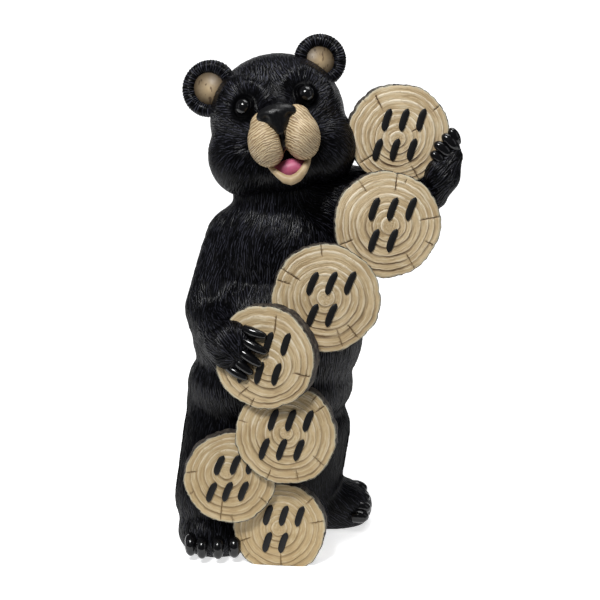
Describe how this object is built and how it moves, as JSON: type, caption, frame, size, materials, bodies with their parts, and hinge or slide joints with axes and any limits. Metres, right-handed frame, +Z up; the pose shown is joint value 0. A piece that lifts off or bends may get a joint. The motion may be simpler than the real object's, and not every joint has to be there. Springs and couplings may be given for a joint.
{
  "type": "standing bear figure with log slices",
  "caption": "Standing bear cub figure in a carved-wood style that holds a cascade of round log slices against its belly, with raised brush strokes where a greeting would be.",
  "frame": {"origin": "on the ground, under the middle of the figure's box", "axes": "+Z up; the bear faces -Y, so +X is on the right of someone who looks at its face"},
  "size_m": [0.3336, 0.2381, 0.6005],
  "materials": {
    "black_fur_paint": "semi-gloss black paint on cast resin fur",
    "gloss_black_paint": "high-gloss black paint on the nose, eyes, fingers, toes and raised strokes",
    "sawn_wood_paint": "matte tan paint with a dark wash in carved rings",
    "bark_paint": "matte dark brown bark with pale dry-brushed edges",
    "tan_muzzle_paint": "satin tan paint on the muzzle, chin and inner ears",
    "tongue_paint": "satin pink paint"
  },
  "bodies": {
    "root": {"bear_with_log_slices": "black_fur_paint"}
  },
  "joints": []
}
